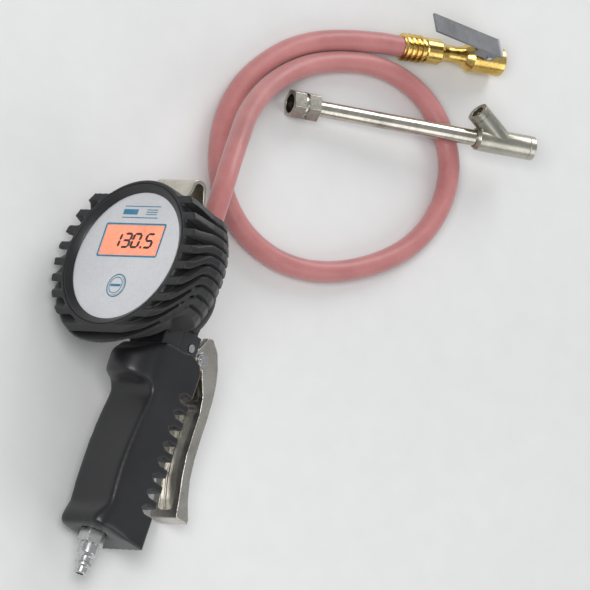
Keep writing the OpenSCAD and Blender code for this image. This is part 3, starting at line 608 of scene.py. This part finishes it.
def digitBars(kind, x0, z0):  # the lit bars of one digit, each with pointed ends
    w, h, s = digits["width"], digits["height"], digits["stroke"]
    ends = {"a": ((0, h), (w, h)), "b": ((w, h), (w, h / 2)), "c": ((w, h / 2), (w, 0)),
            "d": ((0, 0), (w, 0)), "e": ((0, 0), (0, h / 2)), "f": ((0, h / 2), (0, h)),
            "g": ((0, h / 2), (w, h / 2))}
    for part in sevenParts[kind]:
        a, b = (Vector(p) for p in ends[part])
        along = (b - a).normalized()
        side = Vector((-along.y, along.x)) * s / 2
        side *= digits["sides"] if part in "bcef" else 1.0
        a, b = a + along * digits["gap"], b - along * digits["gap"]
        tip = along * s / 2
        shape = [a, a + tip + side, b - tip + side, b, b - tip - side, a + tip - side]
        yield [(x0 + p.x + p.y * digits["slant"], z0 + p.y) for p in shape]


def finishPrint(name, bm, body, colour):
    mesh = bpy.data.meshes.new(name)
    bm.to_mesh(mesh)
    bm.free()
    mesh.materials.append(colour)
    ob = bpy.data.objects.new(name, mesh)
    bpy.context.scene.collection.objects.link(ob)
    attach(ob, body)


def makeReading():
    bm = bmesh.new()
    z0 = dial["windowZ"] - digits["height"] / 2
    for kind, x in digits["at"]:
        for shape in digitBars(kind, x, z0):
            flatShape(bm, shape, digits["y"], digits["depth"])
    x, z = digits["dotAt"]
    dot = roundedBox(digits["dot"], digits["dot"], z, digits["dotCorner"])
    flatShape(bm, [(x + dx, z0 + dz) for dx, dz in dot], digits["y"], digits["depth"])
    finishPrint("display_digits", bm, "inflator", blackInk)


def makePrinting():
    bm = bmesh.new()
    w, h = dial["window"]
    rims = []
    for more, corner in zip((dial["frameGap"], dial["frameGap"] + dial["frameWidth"]),
                            dial["frameCorners"]):
        rims.append(roundedBox(w + 2 * more, h + 2 * more, dial["windowZ"], corner))
    flatRing(bm, *rims, dial["printY"], dial["printDepth"])
    ring = [roundLine(r, -dial["buttonDrop"]) for r in dial["buttonRing"]]
    flatRing(bm, *ring, dial["printY"], dial["printDepth"])
    for x, z, long, tall in dial["rules"]:
        x0, x1, z0, z1 = x - long / 2, x + long / 2, z - tall / 2, z + tall / 2
        flatShape(bm, [(x0, z0), (x1, z0), (x1, z1), (x0, z1)], dial["printY"], dial["printDepth"])
    finishPrint("dial_printing", bm, "inflator", blueInk)


def makeButtonBar():
    bm = bmesh.new()
    bar = roundedBox(*buttonMark["bar"], -dial["buttonDrop"], buttonMark["corner"])
    flatShape(bm, bar, buttonMark["y"], buttonMark["depth"])
    ring = [roundLine(r, -dial["buttonDrop"]) for r in buttonMark["ring"]]
    flatRing(bm, *ring, buttonMark["y"], buttonMark["depth"])
    finishPrint("button_printing", bm, "button", blueInk)


makeReading()
makePrinting()
makeButtonBar()
print("dial printed")


ground = {"size": 6.0, "below": 0.0002, "dark": (0.74, 0.74, 0.735, 1),
          "light": (0.80, 0.80, 0.795, 1), "patches": 2.0, "specks": 60.0, "rough": 0.7}


def makeStage():
    low = min(v[2] for v in cadBox)
    bm = bmesh.new()
    bmesh.ops.create_grid(bm, x_segments=1, y_segments=1, size=ground["size"])
    mesh = bpy.data.meshes.new("floor")
    bm.to_mesh(mesh)
    bm.free()
    floor = bpy.data.objects.new("floor", mesh)
    floor.location.z = low - ground["below"]
    bpy.context.scene.collection.objects.link(floor)
    mat, tree, shader = startMaterial("floor_pale")
    colour = useGroup(tree, mottle, Dark=ground["dark"], Light=ground["light"],
                      Size=ground["patches"], Specks=ground["specks"])
    joinUp(tree, (colour.outputs["Color"], shader.inputs["Base Color"]))
    shader.inputs["Roughness"].default_value = ground["rough"]
    mesh.materials.append(mat)


lamps = {  # where each lamp stands, its size and its strength in watts
    "key": {"at": (-0.9, -0.5, 1.5), "size": 0.9, "power": 15.0},
    "fill": {"at": (1.2, -0.9, 1.1), "size": 1.4, "power": 7.0},
    "rim": {"at": (0.4, 1.5, 0.9), "size": 1.0, "power": 11.0},
}
studio = {"lampsFace": (0, 0, 0.02), "sky": (0.86, 0.88, 0.90, 1), "strength": 0.45}


def makeLamps():
    for name, s in lamps.items():
        data = bpy.data.lights.new(name, "AREA")
        data.shape = "DISK"
        data.size = s["size"]
        data.energy = s["power"]
        ob = bpy.data.objects.new(name, data)
        ob.location = s["at"]
        facing = Vector(studio["lampsFace"]) - Vector(s["at"])
        ob.rotation_euler = facing.to_track_quat("-Z", "Y").to_euler()
        bpy.context.scene.collection.objects.link(ob)
    world = bpy.data.worlds.new("studio")
    world.use_nodes = True
    world.node_tree.nodes["Background"].inputs["Color"].default_value = studio["sky"]
    world.node_tree.nodes["Background"].inputs["Strength"].default_value = studio["strength"]
    bpy.context.scene.world = world


makeStage()
makeLamps()
bpy.context.scene.view_settings.view_transform = "Standard"
print("stage and lamps set")
